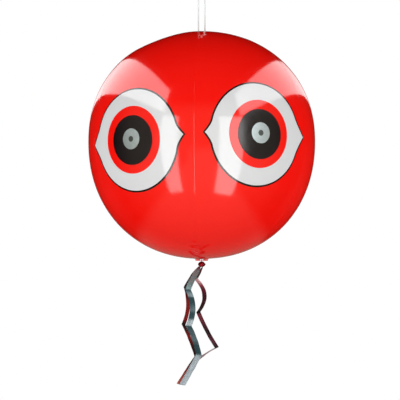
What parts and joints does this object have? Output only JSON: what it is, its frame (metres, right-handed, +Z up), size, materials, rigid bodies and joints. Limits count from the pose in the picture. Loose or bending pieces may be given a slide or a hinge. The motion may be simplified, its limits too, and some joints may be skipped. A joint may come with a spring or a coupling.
{
  "type": "bird scare balloon",
  "caption": "Inflated scare balloon with large printed eyes and creased foil strands under it, hung by a looped cord from a wire hook.",
  "frame": {"origin": "inner top of the wire hook's upper bend, where the hook rests on what carries it", "axes": "+Z up, the printed faces look along -Y, +X to the right as they are seen"},
  "size_m": [0.3992, 0.3994, 0.7493],
  "materials": {
    "red_film": "glossy film",
    "cap_film": "glossy sheet",
    "pupil_foil": "glossy foil",
    "cord_braid": "braided",
    "zinc_steel": "zinc plated",
    "tail_foil": "metallised film",
    "valve_plastic": "satin"
  },
  "bodies": {
    "hook": {"s_hook": "zinc_steel"},
    "cord_loop": {"hanging_cord": "cord_braid", "cord_knot": "cord_braid"},
    "balloon": {"hanging_tab": "cap_film", "top_end_cap": "cap_film", "bottom_end_cap": "cap_film", "tail_tab": "cap_film", "gore_1": "red_film", "gore_2": "red_film", "gore_3": "red_film", "gore_4": "red_film", "gore_5": "red_film", "gore_6": "red_film", "pupil_1": "pupil_foil", "pupil_2": "pupil_foil", "pupil_3": "pupil_foil", "pupil_4": "pupil_foil", "valve_flange": "valve_plastic"},
    "tail": {"tail_knot": "tail_foil"},
    "strand_left": {"foil_strand_left": "tail_foil"},
    "strand_front": {"foil_strand_front": "tail_foil"},
    "strand_right": {"foil_strand_right": "tail_foil"},
    "stem": {"valve_stem": "valve_plastic"},
    "plug": {"valve_plug": "valve_plastic"},
    "flap": {"check_flap": "valve_plastic"}
  },
  "joints": [
    {"name": "cord_swing", "type": "hinge", "parent": "hook", "child": "cord_loop", "pos_m": [0, 0, -0.042], "axis": [0, 1, 0], "range_deg": [-60, 60]},
    {"name": "balloon_swing", "type": "hinge", "parent": "cord_loop", "child": "balloon", "pos_m": [0, 0, -0.126], "axis": [1, 0, 0], "range_deg": [-60, 60]},
    {"name": "tail_swing", "type": "hinge", "parent": "balloon", "child": "tail", "pos_m": [0, 0, -0.53024], "axis": [1, 0, 0], "range_deg": [-40, 40]},
    {"name": "strand_left_swing", "type": "hinge", "parent": "tail", "child": "strand_left", "pos_m": [-0.0046, 0.0034, -0.5408], "axis": [0, 1, 0], "range_deg": [0, 30]},
    {"name": "strand_front_swing", "type": "hinge", "parent": "tail", "child": "strand_front", "pos_m": [-0.003, -0.0036, -0.5406], "axis": [-1, 0, 0], "range_deg": [0, 30]},
    {"name": "strand_right_swing", "type": "hinge", "parent": "tail", "child": "strand_right", "pos_m": [0.0012, 0.0036, -0.5421], "axis": [0, -1, 0], "range_deg": [0, 30]},
    {"name": "valve_push", "type": "slide", "parent": "balloon", "child": "stem", "axis": [-0.7423, 0.0441, 0.6686], "range_m": [0, 0.009]},
    {"name": "plug_flip", "type": "hinge", "parent": "stem", "child": "plug", "pos_m": [-0.1503, 0.00893, -0.18309], "axis": [0.0593, 0.9982, 0], "range_deg": [0, 120]},
    {"name": "flap_swing", "type": "hinge", "parent": "stem", "child": "flap", "pos_m": [-0.14242, 0.00846, -0.1957], "axis": [-0.0593, -0.9982, 0], "range_deg": [0, 50], "stiffness_Nm_per_rad": 0.0002, "springref_deg": -5.73}
  ]
}
